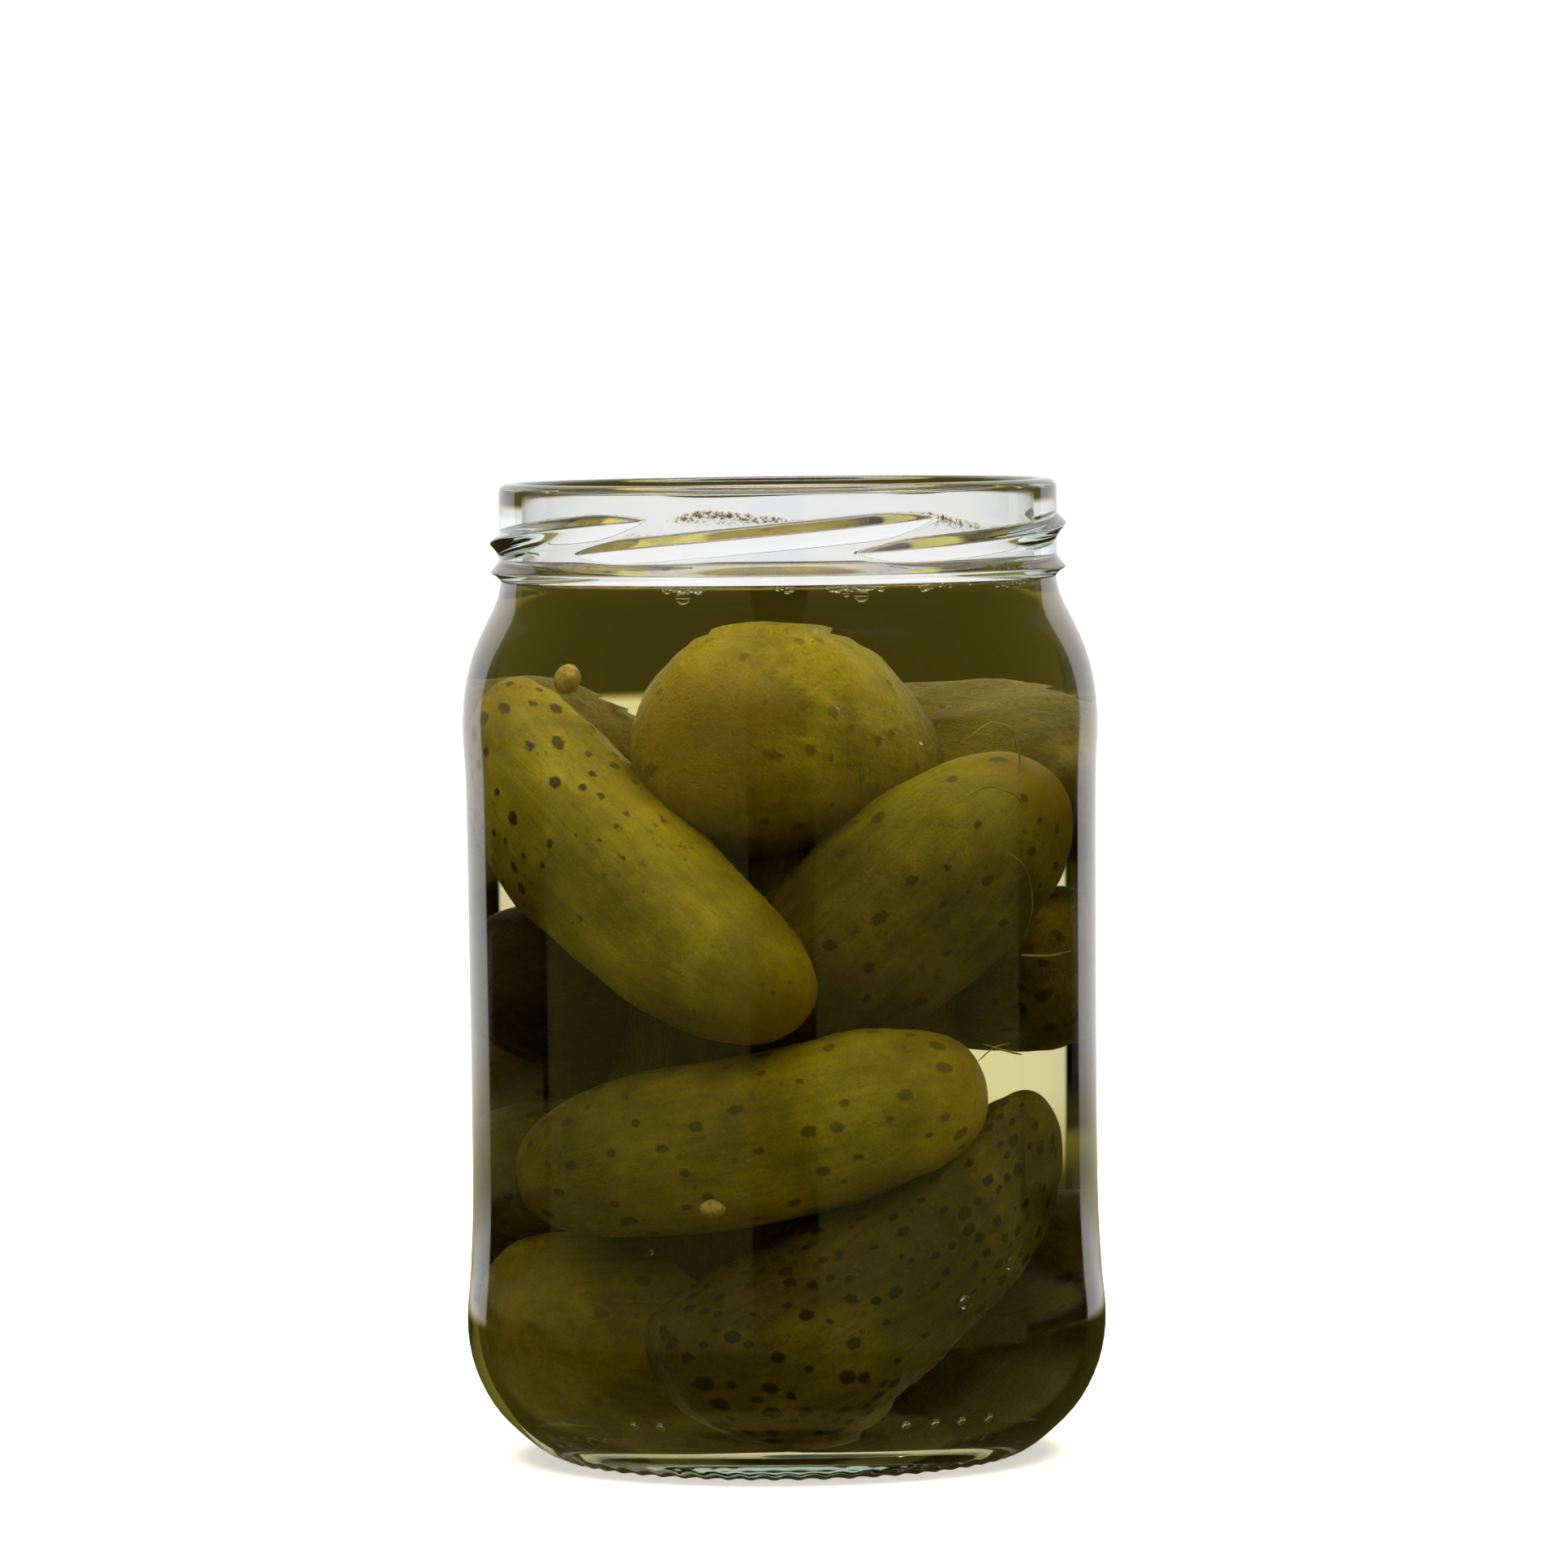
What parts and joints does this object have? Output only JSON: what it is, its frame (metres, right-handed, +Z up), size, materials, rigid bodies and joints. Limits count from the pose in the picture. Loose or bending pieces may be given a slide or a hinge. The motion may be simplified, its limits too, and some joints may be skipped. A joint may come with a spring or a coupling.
{
  "type": "jar of pickled gherkins",
  "caption": "Open round glass preserving jar with a lugged twist-off neck, filled with whole pickled gherkins in brine.",
  "frame": {"origin": "centre of the ring that the jar stands on", "axes": "+Z up along the jar's axis, -Y towards the side that the picture shows"},
  "size_m": [0.092, 0.092, 0.14],
  "materials": {
    "jar_glass": "clear, glossy",
    "gherkin_skin": "wet olive-green skin, warty",
    "brine": "clear yellow-green liquid",
    "mustard_seed": "soaked mustard seed",
    "dill": "thin dill stalks and fibres"
  },
  "bodies": {
    "root": {"jar": "jar_glass", "gherkins": "gherkin_skin"}
  },
  "joints": []
}
